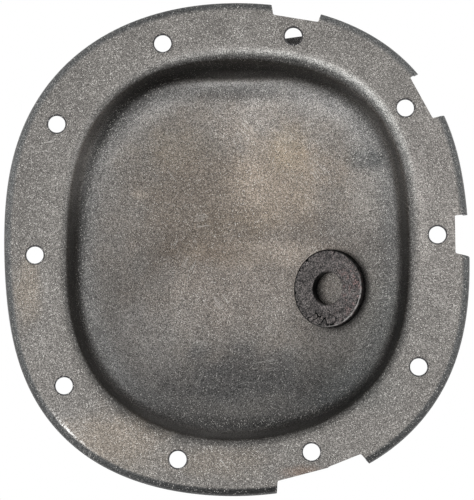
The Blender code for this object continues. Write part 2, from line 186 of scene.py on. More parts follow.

# Painted shade on the flange's bend and the dome's wall, or painted light with a strength below zero, each
# (direction, width in degrees, inset, reach, strength)
BEND_AND_WALL_PAINTED_SHADING = (
    (97.0, 40.0, 0.0100, 0.0042, 0.88),
    (122.0, 18.0, 0.0070, 0.0018, 0.25),
    (122.0, 16.0, 0.0160, 0.0020, 0.26),
    (137.0, 14.0, 0.0118, 0.0028, 0.32),
    (138.0, 12.0, 0.0062, 0.0020, -0.70),
    (90.0, 14.0, 0.0152, 0.0017, -2.60),
    (106.0, 12.0, 0.0132, 0.0018, -0.70),
    (75.0, 10.0, 0.0132, 0.0018, -0.70),
    (88.0, 18.0, 0.0220, 0.0028, 0.60),
    (125.0, 20.0, 0.0235, 0.0030, -0.42),
    (58.0, 22.0, 0.0225, 0.0035, -0.38),
    (47.0, 10.0, -0.0022, 0.0018, 0.16),
    (10.0, 20.0, -0.0028, 0.0030, -0.28),
    (68.0, 26.0, 0.0042, 0.0016, 0.34),
    (75.0, 45.0, 0.0038, 0.0017, 0.30),
    (42.0, 14.0, 0.0045, 0.0018, 0.25),
    (35.0, 20.0, 0.0085, 0.0030, -0.75),
    (15.0, 14.0, 0.0035, 0.0022, 0.35),
    (20.0, 20.0, 0.0200, 0.0060, 0.14),
    (350.0, 22.0, 0.0060, 0.0024, 0.34),
    (338.0, 22.0, 0.0175, 0.0060, 0.22),
    (300.0, 60.0, 0.0035, 0.0045, 0.32),
    (310.0, 30.0, 0.0068, 0.0022, 0.30),
    (300.0, 10.0, 0.0105, 0.0022, 0.25),
    (285.0, 24.0, 0.0120, 0.0020, 0.22),
    (260.0, 22.0, 0.0080, 0.0030, -1.25),
    (268.0, 36.0, 0.0145, 0.0060, 0.58),
    (210.0, 55.0, 0.0040, 0.0045, 0.30),
    (200.0, 34.0, 0.0060, 0.0022, 0.32),
    (205.0, 40.0, 0.0105, 0.0030, 0.28),
    (188.0, 20.0, 0.0105, 0.0030, 0.18),
    (151.0, 13.0, 0.0070, 0.0038, -1.40),
    (161.0, 24.0, 0.0122, 0.0030, 0.42),
    (240.0, 14.0, -0.0006, 0.0022, 0.24),
    (0.0, 12.0, 0.0005, 0.0015, 0.22),
)

# Where the slate lip starts, as a distance in from the outline, and how softly. Both grow by their
# second value towards the top.
LIP_LINE = 0.0044
LIP_LINE_UPPER = 0.0012
LIP_FADE = 0.0009
LIP_FADE_UPPER = 0.0014

# How bright the slate is, and where painted shade darkens it or painted light brightens it, each
# (direction, width in degrees, added)
SLATE = 0.0924
SLATE_PAINTED_SHADING = ((278.0, 42.0, -0.072), (100.0, 26.0, -0.0335), (162.0, 18.0, 0.0265))

# The outermost strip of the lip has painted shade, more in the lower half: its width, how softly it ends
# and the share it loses
LIP_STRIP = 0.0016
LIP_STRIP_FADE = 0.0010
LIP_STRIP_SHADE_SHARE = 0.75

# A painted highlight on the flange's bend at the upper right: insets between which it is bright, how softly
# it ends, and the direction and width in degrees
BEND_HIGHLIGHT_FROM = -0.001
BEND_HIGHLIGHT_TO = 0.0058
BEND_HIGHLIGHT_FADE = 0.002
BEND_HIGHLIGHT_TURN = 56.0
BEND_HIGHLIGHT_WIDTH = 40.0

# A painted highlight along the edge of the opening, in the upper half: inset, reach, direction and width,
# and how bright
OPENING_HIGHLIGHT_INSET = -0.0005
OPENING_HIGHLIGHT_REACH = 0.0025
OPENING_HIGHLIGHT_TURN = 75.0
OPENING_HIGHLIGHT_WIDTH = 80.0
OPENING_HIGHLIGHT = 0.18

# A nick in the lip's bend at the lower left, painted bright as a glint: direction, width, distance from the
# outline, reach
NICK_GLINT_TURN = 227.5
NICK_GLINT_WIDTH = 5.0
NICK_GLINT_EDGE = 0.0047
NICK_GLINT_REACH = 0.0006

# The dark line round a bolt hole, from full to none, as distances out from the hole's edge
HOLE_LINE_FULL = 0.0005
HOLE_LINE_NONE = 0.0011

# Tones of the steel
STEEL_DARK = (0.128, 0.121, 0.115, 1.0)
STEEL_PALE = (0.185, 0.176, 0.164, 1.0)
BEND_HIGHLIGHT_TONE = (0.33, 0.325, 0.31, 1.0)
# Painted shade on the dome's steep wall: darker and cooler
WALL_SHADE_TONE = (0.92, 0.95, 0.985, 1.0)
SLATE_TINT = (0.98, 1.00, 1.00, 1.0)
HOLE_LINE_TONE = (0.03, 0.03, 0.032, 1.0)
NICK_GLINT_TONE = (0.85, 0.84, 0.82, 1.0)
GLINT_TONE = (0.62, 0.60, 0.57, 1.0)
SCRATCH_TONE = (0.38, 0.37, 0.35, 1.0)
TAB_TONE = (0.40, 0.41, 0.43, 1.0)

# Scratches on the sheet, each (direction in degrees, how rare)
SCRATCHES = ((12.0, 0.665), (67.0, 0.68), (128.0, 0.655))

# Tones of the ferrite
FERRITE_DARK = (0.046, 0.041, 0.040, 1.0)
FERRITE_PALE = (0.074, 0.066, 0.064, 1.0)
FERRITE_RUSTY = (0.16, 0.09, 0.085, 1.0)
FERRITE_SCUFFED = (0.13, 0.12, 0.115, 1.0)
FERRITE_CRACK_AND_SHADE = (0.004, 0.004, 0.004, 1.0)
FERRITE_LIT = (0.34, 0.33, 0.32, 1.0)

# The magnet's marks, each (direction, width in degrees): the edge that faces the light, the dark line round
# its hole, which is painted shade, the rusty side and the chipped bottom
MAGNET_LIT = (-40.0, 55.0)
MAGNET_HOLE_SHADE = (175.0, 110.0)
MAGNET_RUSTY = (5.0, 60.0)
MAGNET_CHIPPED = (-100.0, 36.0)

# How far the dark lines of painted shade reach from the magnet's outer edge and from its hole, and how
# softly they end
EDGE_LINE = 0.0010
HOLE_RIM = 0.0008
LINE_FADE = 0.0003

# Grains in a metre, and what the darkest and the lightest multiply the tone by
STEEL_GRAINS = 2800.0
STEEL_GRAIN_SHADES = (-0.3, 2.15)
FERRITE_GRAINS = 2000.0
FERRITE_GRAIN_SHADES = (-1.5, 3.3)

# How strongly bright grains and scratches show, and how much of its metal the slate hides
GLINT_SHARE = 0.70
SCRATCH_SHARE = 0.55
SLATE_COVER = 0.92

# The camera, far off and a little below the middle, as a long lens saw it
CAMERA_FAR = 2.6
CAMERA_ELEVATION = -5.0
VIEW_TALL = 0.285
SENSOR = 36.0
AIM = Vector((0.0003, 0.0, -0.0014))

# The floor lies below the cover, which hangs as it is fitted
FLOOR_Z = -1.3
FLOOR_HALF = 6.0

# Soft round lamps round the camera: (azimuth, elevation, watts)
LAMP_FAR = 2.0
LAMP_SIZE = 1.2
LAMPS = (
    (0, 8, 4.2),
    (-30, -22, 6.4),
    (25, -25, 2.9),
    (-55, -15, 3.0),
    (0, -30, 3.0),
    (55, -10, 2.1),
    (60, 20, 1.7),
)


def waved_radius(mean, waves, turn):
    """Radius of a closed curve in the direction turn: the mean plus each cosine wave."""
    radius = mean + 0.0 * turn
    for count, height, crest in waves:
        radius = radius + height * np.cos(count * (turn - radians(crest)))
    return radius


def outline_radius(turn):
    return waved_radius(FLANGE_RADIUS, FLANGE_WAVES, turn)


def opening_radius(turn):
    return waved_radius(FLANGE_RADIUS - FLANGE_WIDTH, OPENING_WAVES, turn)


def opening_point(turn, inset):
    """X and Z of a place that lies inset inside the edge of the opening."""
    radius = opening_radius(turn) - inset
    return OPENING_X + radius * np.cos(turn), OPENING_Z + radius * np.sin(turn)


def bolt_place(bolt):
    direction, inset = BOLTS[bolt]
    turn = radians(direction)
    radius = float(outline_radius(turn)) - inset
    return Vector((radius * cos(turn), 0.0, radius * sin(turn)))


def soft_ramp(distance, rounding):
    """Zero before the ramp and one for one after it: half of d plus the root of d squared and r squared."""
    return 0.5 * (distance + np.sqrt(distance**2 + rounding**2))


def soft_min(first, second, blend):
    """The smaller depth, less a parabola where the two differ by less than blend."""
    overlap = np.maximum(blend - np.abs(first - second), 0.0) / blend
    return np.minimum(first, second) - overlap**2 * blend / 4


def soft_max(first, second, blend):
    return -soft_min(-first, -second, blend)


def rounded_fall(distance):
    """One for one with the distance from the crest, as a hyperbola that starts level."""
    return np.sqrt(distance**2 + CREST_ROUNDING**2) - CREST_ROUNDING


def crown_share(z):
    """One below the crown's upper edge and zero above it, with a soft step between."""
    return 0.5 * (1 + np.tanh((CROWN_TOP - z) / CROWN_FADE))


def flank(away, z, crown, span, drop):
    """How far a flank has fallen away from the crest: nothing on the crown, drop at the span's end."""
    crown_reach = crown * crown_share(z)
    beyond = np.maximum(away - crown_reach, 0.0)
    return drop * rounded_fall(beyond) / rounded_fall(span - crown_reach)


def floor_depth(x, z):
    """Depth of the dome's floor: the full depth less the flank, the arch and the ramp, and never less
    than the shoulder."""
    right = flank(x - CREST_X, z, CROWN_RIGHT, opening_point(0.0, 0.0)[0] - CREST_X, RIGHT_DROP)
    left = flank(CREST_X - x, z, CROWN_LEFT, CREST_X - opening_point(pi, 0.0)[0], LEFT_DROP)
    tent = np.where(x > CREST_X, right, left)
    arch = (z - ARCH_Z) ** 2 / (2 * ARCH_RADIUS)
    ramp = RAMP_SLOPE * soft_ramp(RAMP_Z - z, RAMP_ROUNDING)
    bottom = DOME_DEPTH - CROWN_SET * crown_share(z)
    return soft_max(bottom - tent - arch - ramp, SHOULDER_DEPTH, SHOULDER_ROUNDING)


def wall_arc_end(turn):
    """Radius of the bend at the flange, and the inset and depth at which it ends and the wall starts."""
    share = 0.5 * (1 + np.cos(turn - radians(WIDE_BEND_TURN)))
    bend = DOME_BEND + WIDE_BEND * share**3
    angle = radians(WALL_ANGLE)
    return bend, bend * sin(angle), bend * (1 - cos(angle))


def wall_depth(turn, inset):
    """Depth of the wall: an arc from the flange, then straight at WALL_ANGLE."""
    bend, arc_inset, _ = wall_arc_end(turn)
    on_arc = bend - np.sqrt(bend**2 - np.clip(inset, 0.0, arc_inset) ** 2)
    return on_arc + np.maximum(inset - arc_inset, 0.0) * tan(radians(WALL_ANGLE))


def floor_slope(turn, inset):
    """Depth of the floor at an inset, and how fast it deepens inwards there."""
    deeper = floor_depth(*opening_point(turn, inset + SLOPE_STEP))
    shallower = floor_depth(*opening_point(turn, inset - SLOPE_STEP))
    return floor_depth(*opening_point(turn, inset)), (deeper - shallower) / (2 * SLOPE_STEP)


def wall_fillet(turn):
    """Radius and centre (inset, depth) of the arc that touches both wall and floor, and the inset at
    which it meets the floor. The radius is largest in the corners, and leaves some straight wall.

    The centre keeps the radius from the floor, and each step moves it to the same distance from the
    wall."""
    radius = FLOOR_FILLET + CORNER_FILLET * 0.5 * (1 - np.cos(4 * turn))
    angle = radians(WALL_ANGLE)
    _, arc_inset, arc_depth = wall_arc_end(turn)
    room = floor_depth(*opening_point(turn, arc_inset + radius)) - arc_depth
    radius = np.minimum(radius, FILLET_SHARE * room / (1 - cos(angle)))
    meeting = arc_inset + radius
    for _ in range(SETTLE_STEPS):
        depth, slope = floor_slope(turn, meeting)
        across = np.sqrt(1 + slope**2)
        centre = meeting + radius * slope / across
        centre_depth = depth - radius / across
        from_wall = (centre - arc_inset) * sin(angle) - (centre_depth - arc_depth) * cos(angle)
        meeting = meeting + (radius - from_wall) / sin(angle)
    return radius, centre, centre_depth, meeting


def dome_depth(x, z):
    """Depth of the dome's inside behind the gasket face: its wall, its fillet and its floor."""
    turn = np.arctan2(z - OPENING_Z, x - OPENING_X)
    inset = opening_radius(turn) - np.hypot(x - OPENING_X, z - OPENING_Z)
    radius, centre, centre_depth, meeting = wall_fillet(turn)
    reach = np.clip(inset - centre, -radius, radius)
    fillet = centre_depth + np.sqrt(radius**2 - reach**2)
    wall_end = centre - radius * sin(radians(WALL_ANGLE))
    below = np.where(inset < meeting, fillet, floor_depth(x, z))
    return np.where(inset < wall_end, wall_depth(turn, inset), below)


def sheet_grid():
    """The gasket side of the sheet as an array of rings, from the lip's edge to near the dome's middle.

    A ring is a closed curve of constant inset: from the outline on the lip, its bend and the outer
    flange, and from the edge of the opening on the inner flange, the wall and the floor."""
    turn = np.arange(AROUND) * 2 * pi / AROUND
    bend = radians(90.0 - LIP_FLARE)
    straight_depth = LIP_DEPTH - LIP_BEND * (1 - cos(bend))
    flat_inset = straight_depth / tan(bend) + LIP_BEND * sin(bend)
    angles = bend * np.linspace(1.0, 0.0, BEND_STEPS + 1)
    lip_insets = np.concatenate([[0.0], flat_inset - LIP_BEND * np.sin(angles), [flat_inset + FLAT_MARGIN]])
    lip_depths = np.concatenate([[LIP_DEPTH], LIP_BEND * (1 - np.cos(angles)), [0.0]])
    radius = outline_radius(turn)[None, :] - lip_insets[:, None]
    lip_depth = np.broadcast_to(lip_depths[:, None], radius.shape)
    lip = np.stack([radius * np.cos(turn), lip_depth, radius * np.sin(turn)], axis=-1)

    angle = radians(WALL_ANGLE)
    bend, _, _ = wall_arc_end(turn)
    on_arc = bend * np.sin(angle * np.linspace(0.0, 1.0, BEND_STEPS + 1))[:, None]
    fillet, centre, _, meeting = wall_fillet(turn)
    floor_angle = np.arcsin((centre - meeting) / fillet)
    steepness = angle + (floor_angle - angle) * np.linspace(0.0, 1.0, FILLET_STEPS + 1)[:, None]
    on_fillet = centre - fillet * np.sin(steepness)
    on_wall = 0.5 * (on_arc[-1:] + on_fillet[:1])
    to_middle = opening_radius(turn) - meeting
    inward = meeting + to_middle * (np.arange(1, FLOOR_STEPS) / FLOOR_STEPS)[:, None]
    flat = -np.array(FLAT_RINGS)[:, None] + 0.0 * turn[None, :]
    insets = np.concatenate([flat, on_arc, on_wall, on_fillet, inward])
    x, z = opening_point(turn[None, :], insets)
    depth = np.where(insets < 0.0, 0.0, dome_depth(x, z))
    dome = np.stack([x, depth, z], axis=-1)
    return np.concatenate([lip, dome])


def ring_faces(rings, count, closed=False):
    """Quads between neighbouring rings of count points; closed also joins the last ring to the first."""
    ring = np.arange(rings if closed else rings - 1)[:, None]
    side = np.arange(count)[None, :]
    after = (side + 1) % count
    here = ring * count
    there = (ring + 1) % rings * count
    quads = np.stack([here + side, here + after, there + after, there + side], axis=-1)
    return quads.reshape(-1, 4)


def grid_mesh(name, grid, closed=False, middle=None):
    """A mesh of rings joined by quads, with a fan to a middle point where one is given."""
    rings, count, _ = grid.shape
    points = grid.reshape(-1, 3)
    faces = ring_faces(rings, count, closed).tolist()
    if middle is not None:
        last = (rings - 1) * count
        points = np.concatenate([points, [middle]])
        faces += [(last + side, last + (side + 1) % count, len(points) - 1) for side in range(count)]
    mesh = bpy.data.meshes.new(name)
    mesh.from_pydata(points.tolist(), [], faces)
    return mesh


def add_piece(name, mesh):
    piece = bpy.data.objects.new(name, mesh)
    bpy.context.scene.collection.objects.link(piece)
    return piece


def settle(piece, sharp_angle):
    """Turns the piece's modifiers into its mesh, and shades it smooth up to the sharp angle."""
    bpy.context.view_layer.update()
    graph = bpy.context.evaluated_depsgraph_get()
    mesh = bpy.data.meshes.new_from_object(piece.evaluated_get(graph))
    piece.modifiers.clear()
    piece.data = mesh
    mesh.shade_smooth()
    mesh.set_sharp_from_angle(angle=radians(sharp_angle))
    return mesh


def cut_with(target, cutter):
    modifier = target.modifiers.new(cutter.name, "BOOLEAN")
    modifier.operation = "DIFFERENCE"
    modifier.solver = "EXACT"
    modifier.object = cutter


def bolt_hole_cutter():
    """Ten turned plugs: each side is straight through the sheet and flares where it leaves a face."""
    ease = HOLE_EASE
    radius = BOLT_HOLE / 2
    section = np.array(
        [
            (radius + ease + PAST, -PAST),
            (radius + 0.3 * ease, 0.3 * ease),
            (radius, ease),
            (radius, SHEET - ease),
            (radius + 0.3 * ease, SHEET - 0.3 * ease),
            (radius + ease + PAST, SHEET + PAST),
        ]
    )
    turn = np.arange(HOLE_SIDES) * 2 * pi / HOLE_SIDES
    plug = np.stack(
        [
            section[:, :1] * np.cos(turn),
            section[:, 1:] + 0.0 * turn,
            section[:, :1] * np.sin(turn),
        ],
        axis=-1,
    )
    shape = bmesh.new()
    for bolt in BOLTS:
        place = np.array(bolt_place(bolt))
        rings = [[shape.verts.new(point) for point in ring + place] for ring in plug]
        for outer, inner in zip(rings, rings[1:]):
            for side in range(HOLE_SIDES):
                after = (side + 1) % HOLE_SIDES
                shape.faces.new((outer[side], outer[after], inner[after], inner[side]))
        shape.faces.new(rings[0])
        shape.faces.new(rings[-1])
    bmesh.ops.recalc_face_normals(shape, faces=shape.faces)
    mesh = bpy.data.meshes.new("bolt_hole_cutter")
    shape.to_mesh(mesh)
    shape.free()
    return add_piece("bolt_hole_cutter", mesh)


def rounded_corners(corners, radius, steps):
    """The closed outline through these corners, each replaced by points of a curve that meets both
    sides at radius from the corner: a parabola, (1-t)^2 a + 2t(1-t) corner + t^2 b."""
    points = []
    for number, corner in enumerate(corners):
        before = corners[number - 1]
        after = corners[(number + 1) % len(corners)]
        a = corner + (before - corner).normalized() * radius
        b = corner + (after - corner).normalized() * radius
        for step in range(steps + 1):
            t = step / steps
            points.append((1 - t) ** 2 * a + 2 * t * (1 - t) * corner + t**2 * b)
    return points


def notch_cutter(bolt, facing, land, before, after, splay_before, splay_after):
    """A prism outside one straight cut, with its corners rounded as the die's are."""
    out = 2 * FLANGE_WIDTH
    outward = Vector((cos(radians(facing)), 0.0, sin(radians(facing))))
    along = Vector((-outward.z, 0.0, outward.x))
    inner = bolt_place(bolt) + outward * land
    outer = inner + outward * out
    corners = (
        inner - along * before,
        outer - along * (before + out * tan(radians(splay_before))),
        outer + along * (after + out * tan(radians(splay_after))),
        inner + along * after,
    )
    shape = bmesh.new()
    plan = rounded_corners(corners, DIE_CORNER, CORNER_STEPS)
    front = [shape.verts.new(point - Vector((0.0, PAST, 0.0))) for point in plan]
    grown = bmesh.ops.extrude_face_region(shape, geom=[shape.faces.new(front)])
    moved = [item for item in grown["geom"] if isinstance(item, bmesh.types.BMVert)]
    bmesh.ops.translate(shape, verts=moved, vec=(0.0, LIP_DEPTH + 2 * PAST, 0.0))
    bmesh.ops.recalc_face_normals(shape, faces=shape.faces)
    mesh = bpy.data.meshes.new("notch_cutter")
    shape.to_mesh(mesh)
    shape.free()
    return add_piece("notch_cutter", mesh)


def build_cover():
    """The pressed sheet: its gasket side, given its thickness, then the holes and the cuts in the lip."""
    middle = (OPENING_X, float(dome_depth(OPENING_X, OPENING_Z)), OPENING_Z)
    cover = add_piece("pressed_cover", grid_mesh("pressed_cover", sheet_grid(), middle=middle))
    wall = cover.modifiers.new("sheet", "SOLIDIFY")
    wall.thickness = SHEET
    wall.offset = -1.0
    wall.use_even_offset = True
    wall.use_quality_normals = True
    eased = cover.modifiers.new("eased_lip", "BEVEL")
    eased.width = LIP_EASE
    eased.segments = 2
    eased.limit_method = "ANGLE"
    eased.angle_limit = radians(EASED_FROM)
    cutters = [bolt_hole_cutter()] + [notch_cutter(*notch) for notch in NOTCHES]
    for cutter in cutters:
        cut_with(cover, cutter)
    settle(cover, SHARP_FROM)
    for cutter in cutters:
        bpy.data.objects.remove(cutter)
    mark_zones(cover)
    return cover


def hump(distance, middle, reach):
    """One at the distance middle, falling off on both sides as a bell curve of this reach."""
    return np.exp(-(((distance - middle) / reach) ** 2))


def bell(turn, middle, width):
    """One in the direction middle, falling off on both sides as a bell curve of this width in degrees."""
    away = (turn - radians(middle) + pi) % (2 * pi) - pi
    return hump(away, 0.0, radians(width))


def point_places(mesh):
    """The places of the mesh's points, one row each."""
    points = np.empty(len(mesh.vertices) * 3, np.float32)
    mesh.vertices.foreach_get("co", points)
    return points.reshape(-1, 3)


def write_marks(mesh, marks):
    """Writes named values on the mesh's points, for its material to read."""
    for name, values in marks.items():
        mark = mesh.attributes.new(name, "FLOAT", "POINT")
        mark.data.foreach_set("value", values.astype(np.float32))


def mark_zones(cover):
    """Writes values on the sheet's points, worked out from their places in plan. lip is 1 on the lip and
    its bend, and slate is how bright the lip is there, with painted shade and painted light by direction.
    wall is 1 on the dome's steep wall, which has painted shade, bend on the flange's bend, which has a
    painted highlight, glint on the nick in the lip's bend, which is painted as a glint, and inner on the
    side that looks towards the axle. The painted shading value is the share of brightness that painted
    shade takes; below zero it is painted light that it adds."""
    x, y, z = point_places(cover.data).T
    turn = np.arctan2(z, x)
    edge = outline_radius(turn) - np.hypot(x, z)
    gasket_side = y < SHEET
    upper = 0.5 * (1.0 + np.tanh(3.0 * np.sin(turn)))
    lip = (LIP_LINE + LIP_LINE_UPPER * upper - edge) / (LIP_FADE + LIP_FADE_UPPER * upper)
    slate = SLATE
    # Painted shade at the bottom and the top of the lip, and painted light at its left
    for middle, width, added in SLATE_PAINTED_SHADING:
        slate = slate + added * bell(turn, middle, width)
    strip = np.clip((LIP_STRIP - edge) / LIP_STRIP_FADE, 0.0, 1.0)
    # Painted shade on the lip's outermost strip, more in the lower half
    slate = slate * (1.0 - LIP_STRIP_SHADE_SHARE * (1.0 - 0.5 * upper) * strip)
    glint = bell(turn, NICK_GLINT_TURN, NICK_GLINT_WIDTH) * hump(edge, NICK_GLINT_EDGE, NICK_GLINT_REACH) * gasket_side

    inner_turn = np.arctan2(z - OPENING_Z, x - OPENING_X)
    inset = opening_radius(inner_turn) - np.hypot(x - OPENING_X, z - OPENING_Z)
    _, foot, _, _ = wall_fillet(inner_turn)
    fade = 0.4 * foot
    wall = np.clip(inset / fade, 0.0, 1.0) * np.clip((1.25 * foot - inset) / fade, 0.0, 1.0)
    # A painted highlight on the flange's bend, at the upper right
    bend = np.clip((inset - BEND_HIGHLIGHT_FROM) / BEND_HIGHLIGHT_FADE, 0.0, 1.0)
    bend = bend * np.clip((BEND_HIGHLIGHT_TO - inset) / BEND_HIGHLIGHT_FADE, 0.0, 1.0)
    bend = bend * bell(inner_turn, BEND_HIGHLIGHT_TURN, BEND_HIGHLIGHT_WIDTH) * gasket_side
    # A painted highlight along the edge of the opening
    opening_highlight = hump(inset, OPENING_HIGHLIGHT_INSET, OPENING_HIGHLIGHT_REACH) * bell(inner_turn, OPENING_HIGHLIGHT_TURN, OPENING_HIGHLIGHT_WIDTH)
    painted_shading = -OPENING_HIGHLIGHT * opening_highlight
    # Painted shade and painted light along the flange's bend and the dome's wall
    for middle, width, depth, reach, strength in BEND_AND_WALL_PAINTED_SHADING:
        painted_shading = painted_shading + strength * bell(inner_turn, middle, width) * hump(inset, depth, reach)
    front = np.where(inset > 0.0, dome_depth(x, z), 0.0)
    inner = np.clip(1.0 - (y - front) / (0.5 * SHEET), 0.0, 1.0)
    marks = {
        "lip": np.clip(lip, 0.0, 1.0),
        "slate": slate,
        "wall": wall,
        "bend": bend,
        "painted_shading": painted_shading * inner,
        "glint": glint,
        "inner": inner,
    }
    write_marks(cover.data, marks)


def floor_normal(x, z):
    """Unit normal of the dome's floor at a place, pointing out of the dome's mouth."""
    slope_x = float(floor_depth(x + SLOPE_STEP, z) - floor_depth(x - SLOPE_STEP, z)) / (2 * SLOPE_STEP)
    slope_z = float(floor_depth(x, z + SLOPE_STEP) - floor_depth(x, z - SLOPE_STEP)) / (2 * SLOPE_STEP)
    return Vector((slope_x, -1.0, slope_z)).normalized()


def magnet_seat():
    """Place of the magnet's underside: its axis square to the floor, its rim just clear of it."""
    x = float(opening_point(0.0, MAGNET_INSET)[0])
    normal = floor_normal(x, MAGNET_Z)
    middle = Vector((x, float(floor_depth(x, MAGNET_Z)), MAGNET_Z))
    seat = Matrix.Translation(middle) @ normal.to_track_quat("Z", "Y").to_matrix().to_4x4()
    turn = np.linspace(0, 2 * pi, SEAT_SIDES, endpoint=False)
    clearances = []
    for radius in (MAGNET_OUTSIDE / 2, MAGNET_HOLE / 2):
        for angle in turn:
            point = seat @ Vector((radius * cos(angle), radius * sin(angle), 0.0))
            clearances.append((float(dome_depth(point.x, point.z)) - point.y) * -normal.y)
    return Matrix.Translation(normal * (SEAT_GAP - min(clearances))) @ seat


def build_magnet():
    """A turned ring: the section is a rounded rectangle, carried round the ring's axis. Its face has
    rings of points of its own, for the values that are written on them."""
    half_width = (MAGNET_OUTSIDE - MAGNET_HOLE) / 4
    mean_radius = (MAGNET_OUTSIDE + MAGNET_HOLE) / 4
    ease = MAGNET_EASE
    corner_turns = np.linspace(0, pi / 2, EASE_STEPS)
    section = []
    for quarter, (side, level) in enumerate(((1, 1), (-1, 1), (-1, -1), (1, -1))):
        angle = corner_turns + quarter * pi / 2
        radius = mean_radius + side * (half_width - ease) + ease * np.cos(angle)
        height = MAGNET_THICKNESS / 2 + level * (MAGNET_THICKNESS / 2 - ease) + ease * np.sin(angle)
        section.append(np.stack([radius, height], axis=-1))
    across = np.linspace(0.0, 1.0, FACE_RINGS + 2)[1:-1, None]
    section.insert(1, section[0][-1] * (1 - across) + section[1][0] * across)
    section = np.concatenate(section)
    turn = np.arange(MAGNET_SIDES) * 2 * pi / MAGNET_SIDES
    radius = section[:, :1] + 0.0 * turn
    height = section[:, 1:] + 0.0 * turn
    grid = np.stack([radius * np.cos(turn), radius * np.sin(turn), height], axis=-1)
    magnet = add_piece("filings_magnet", grid_mesh("filings_magnet", grid[::-1], closed=True))
    magnet.data.transform(magnet_seat())
    magnet.data.shade_smooth()
    mark_magnet(magnet.data, grid[::-1].reshape(-1, 3))
    return magnet


def mark_magnet(mesh, section):
    """Writes values on the magnet's points: side is 1 on its turned walls and along its edges, as painted
    shade, the outer edge's line only on the side away from the light; rim towards its outer edge, lit on
    the rounded edge that faces the light, edge on its right half, and chips at the bottom. section holds
    the points before the magnet was set in its place."""
    radius = np.hypot(section[:, 0], section[:, 1])
    level = section[:, 2]
    placed = point_places(mesh)
    away = placed - placed.mean(axis=0)
    turn = np.arctan2(away[:, 2], away[:, 0])
    outside = MAGNET_OUTSIDE / 2
    ease = MAGNET_EASE
    # The turned walls and the underside, painted near black as shade
    side = np.clip((MAGNET_THICKNESS - 0.7 * ease - level) / (0.4 * ease), 0.0, 1.0)
    facing = bell(turn, *MAGNET_LIT)
    shaded = 1.0 - np.clip(1.3 * facing, 0.0, 1.0)
    # Painted shade along the outer edge away from the light, and round the hole, mostly on its left
    line = np.clip((radius - outside + EDGE_LINE) / LINE_FADE, 0.0, 1.0) * shaded
    bore = np.clip((MAGNET_HOLE / 2 + HOLE_RIM - radius) / LINE_FADE, 0.0, 1.0)
    bore = bore * bell(turn, *MAGNET_HOLE_SHADE)
    rounding = np.clip(1 - np.abs(radius - outside + ease) / (0.8 * ease), 0.0, 1.0)
    below = np.clip((radius - 0.58 * outside) / (0.1 * outside), 0.0, 1.0)
    marks = {
        "side": np.maximum(side, np.maximum(line, bore)),
        "rim": np.clip((radius - 0.80 * outside) / (0.15 * outside), 0.0, 1.0),
        "lit": facing * rounding * (level > MAGNET_THICKNESS - ease),
        "edge": bell(turn, *MAGNET_RUSTY),
        "chips": bell(turn, *MAGNET_CHIPPED) * below,
    }
    write_marks(mesh, marks)


def node_material(name):
    made = bpy.data.materials.new(name)
    made.use_nodes = True
    tree = made.node_tree
    return made, tree, tree.nodes["Principled BSDF"]


def feed(tree, socket, value):
    """Links an output to the socket, or sets the socket's constant."""
    if isinstance(value, bpy.types.NodeSocket):
        tree.links.new(value, socket)
    else:
        socket.default_value = value


def sums(tree, operation, first, second=0.0, clamp=False):
    node = tree.nodes.new("ShaderNodeMath")
    node.operation = operation
    node.use_clamp = clamp
    feed(tree, node.inputs[0], first)
    feed(tree, node.inputs[1], second)
    return node.outputs["Value"]


def vectors(tree, operation, first, second=(0.0, 0.0, 0.0)):
    node = tree.nodes.new("ShaderNodeVectorMath")
    node.operation = operation
    feed(tree, node.inputs[0], first)
    feed(tree, node.inputs[1], second)
    return node.outputs["Value" if operation == "LENGTH" else "Vector"]


def noise(tree, vector, scale, detail=2.0, output="Fac"):
    node = tree.nodes.new("ShaderNodeTexNoise")
    feed(tree, node.inputs["Vector"], vector)
    feed(tree, node.inputs["Scale"], scale)
    feed(tree, node.inputs["Detail"], detail)
    return node.outputs[output]


def change(tree, value, low, high, start=0.0, end=1.0, kind="SMOOTHSTEP"):
    """From start to end while the value goes from low to high."""
    node = tree.nodes.new("ShaderNodeMapRange")
    node.interpolation_type = kind
    for socket, number in zip(node.inputs, (value, low, high, start, end)):
        feed(tree, socket, number)
    return node.outputs["Result"]


def mixed(tree, factor, color, other, blend="MIX"):
    node = tree.nodes.new("ShaderNodeMix")
    node.data_type = "RGBA"
    node.blend_type = blend
    feed(tree, node.inputs[0], factor)
    feed(tree, node.inputs[6], color)
    feed(tree, node.inputs[7], other)
    return node.outputs[2]


def zone(tree, name):
    """A value written on the piece's points."""
    node = tree.nodes.new("ShaderNodeAttribute")
    node.attribute_name = name
    return node.outputs["Fac"]


def new_effect(name, inputs, outputs):
    """An empty shader group with these sockets, each (name, kind of socket)."""
    tree = bpy.data.node_groups.new(name, "ShaderNodeTree")
    for label, kind in inputs:
        tree.interface.new_socket(label, in_out="INPUT", socket_type=kind)
    for label, kind in outputs:
        tree.interface.new_socket(label, in_out="OUTPUT", socket_type=kind)
    return tree, tree.nodes.new("NodeGroupInput").outputs, tree.nodes.new("NodeGroupOutput").inputs


def use(tree, effect, **values):
    node = tree.nodes.new("ShaderNodeGroup")
    node.node_tree = effect
    for label, value in values.items():
        feed(tree, node.inputs[label], value)
    return node.outputs


